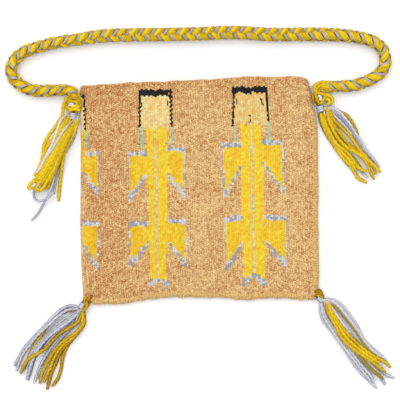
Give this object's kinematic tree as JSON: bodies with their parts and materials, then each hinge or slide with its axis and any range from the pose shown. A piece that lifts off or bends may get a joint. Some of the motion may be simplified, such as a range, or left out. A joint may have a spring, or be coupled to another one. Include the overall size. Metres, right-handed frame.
{
  "type": "woven wool pouch",
  "caption": "Flat tapestry-woven wool pouch with an open top, a round braided wool strap and a tassel at each corner.",
  "frame": {"origin": "middle of the cloth's back face, which lies on the table", "axes": "+X to the right of the front, +Y towards the mouth, +Z out of the front"},
  "size_m": [0.3859, 0.3594, 0.013],
  "materials": {
    "tan_wool": "hand-spun tan wool, weft-faced tapestry weave, matte",
    "yellow_wool": "golden yellow wool yarn, matte",
    "cream_wool": "undyed cream wool weft, matte",
    "black_wool": "black wool weft, matte",
    "grey_wool": "pale grey wool yarn, matte",
    "green_wool": "pale blue-green wool weft, matte"
  },
  "bodies": {
    "root": {"bottom_left_grey_yarns": "grey_wool", "bottom_left_tassel_neck": "grey_wool", "bottom_left_tie": "yellow_wool", "bottom_left_yellow_yarns": "yellow_wool", "bottom_right_grey_yarns": "grey_wool", "bottom_right_tassel_neck": "grey_wool", "bottom_right_tie": "yellow_wool", "bottom_right_yellow_yarns": "yellow_wool", "bottom_seam": "tan_wool", "cloth": "tan_wool", "folded_figure_head": "cream_wool", "folded_figure_head_outline": "black_wool", "folded_figure_right_body": "yellow_wool", "folded_figure_right_lower_wing_line": "grey_wool", "folded_figure_right_neck_line": "green_wool", "folded_figure_right_upper_wing_line": "grey_wool", "middle_figure_head": "cream_wool", "middle_figure_head_outline": "black_wool", "middle_figure_left_body": "yellow_wool", "middle_figure_left_lower_wing_line": "grey_wool", "middle_figure_left_neck_line": "green_wool", "middle_figure_left_upper_wing_line": "grey_wool", "middle_figure_middle_line": "grey_wool", "middle_figure_right_body": "yellow_wool", "middle_figure_right_lower_wing_line": "grey_wool", "middle_figure_right_neck_line": "green_wool", "middle_figure_right_upper_wing_line": "grey_wool", "right_figure_head": "cream_wool", "right_figure_head_outline": "black_wool", "right_figure_left_body": "yellow_wool", "right_figure_left_lower_wing_line": "grey_wool", "right_figure_left_neck_line": "green_wool", "right_figure_left_upper_wing_line": "grey_wool", "right_figure_middle_line": "grey_wool", "right_figure_right_body": "yellow_wool", "right_figure_right_lower_wing_line": "grey_wool", "right_figure_right_neck_line": "green_wool", "right_figure_right_upper_wing_line": "grey_wool", "side_seam": "tan_wool", "strap": "yellow_wool", "top_left_grey_yarns": "grey_wool", "top_left_knot": "yellow_wool", "top_left_tassel_neck": "grey_wool", "top_left_yellow_yarns": "yellow_wool", "top_right_grey_yarns": "grey_wool", "top_right_knot": "yellow_wool", "top_right_tassel_neck": "grey_wool", "top_right_yellow_yarns": "yellow_wool"}
  },
  "joints": []
}
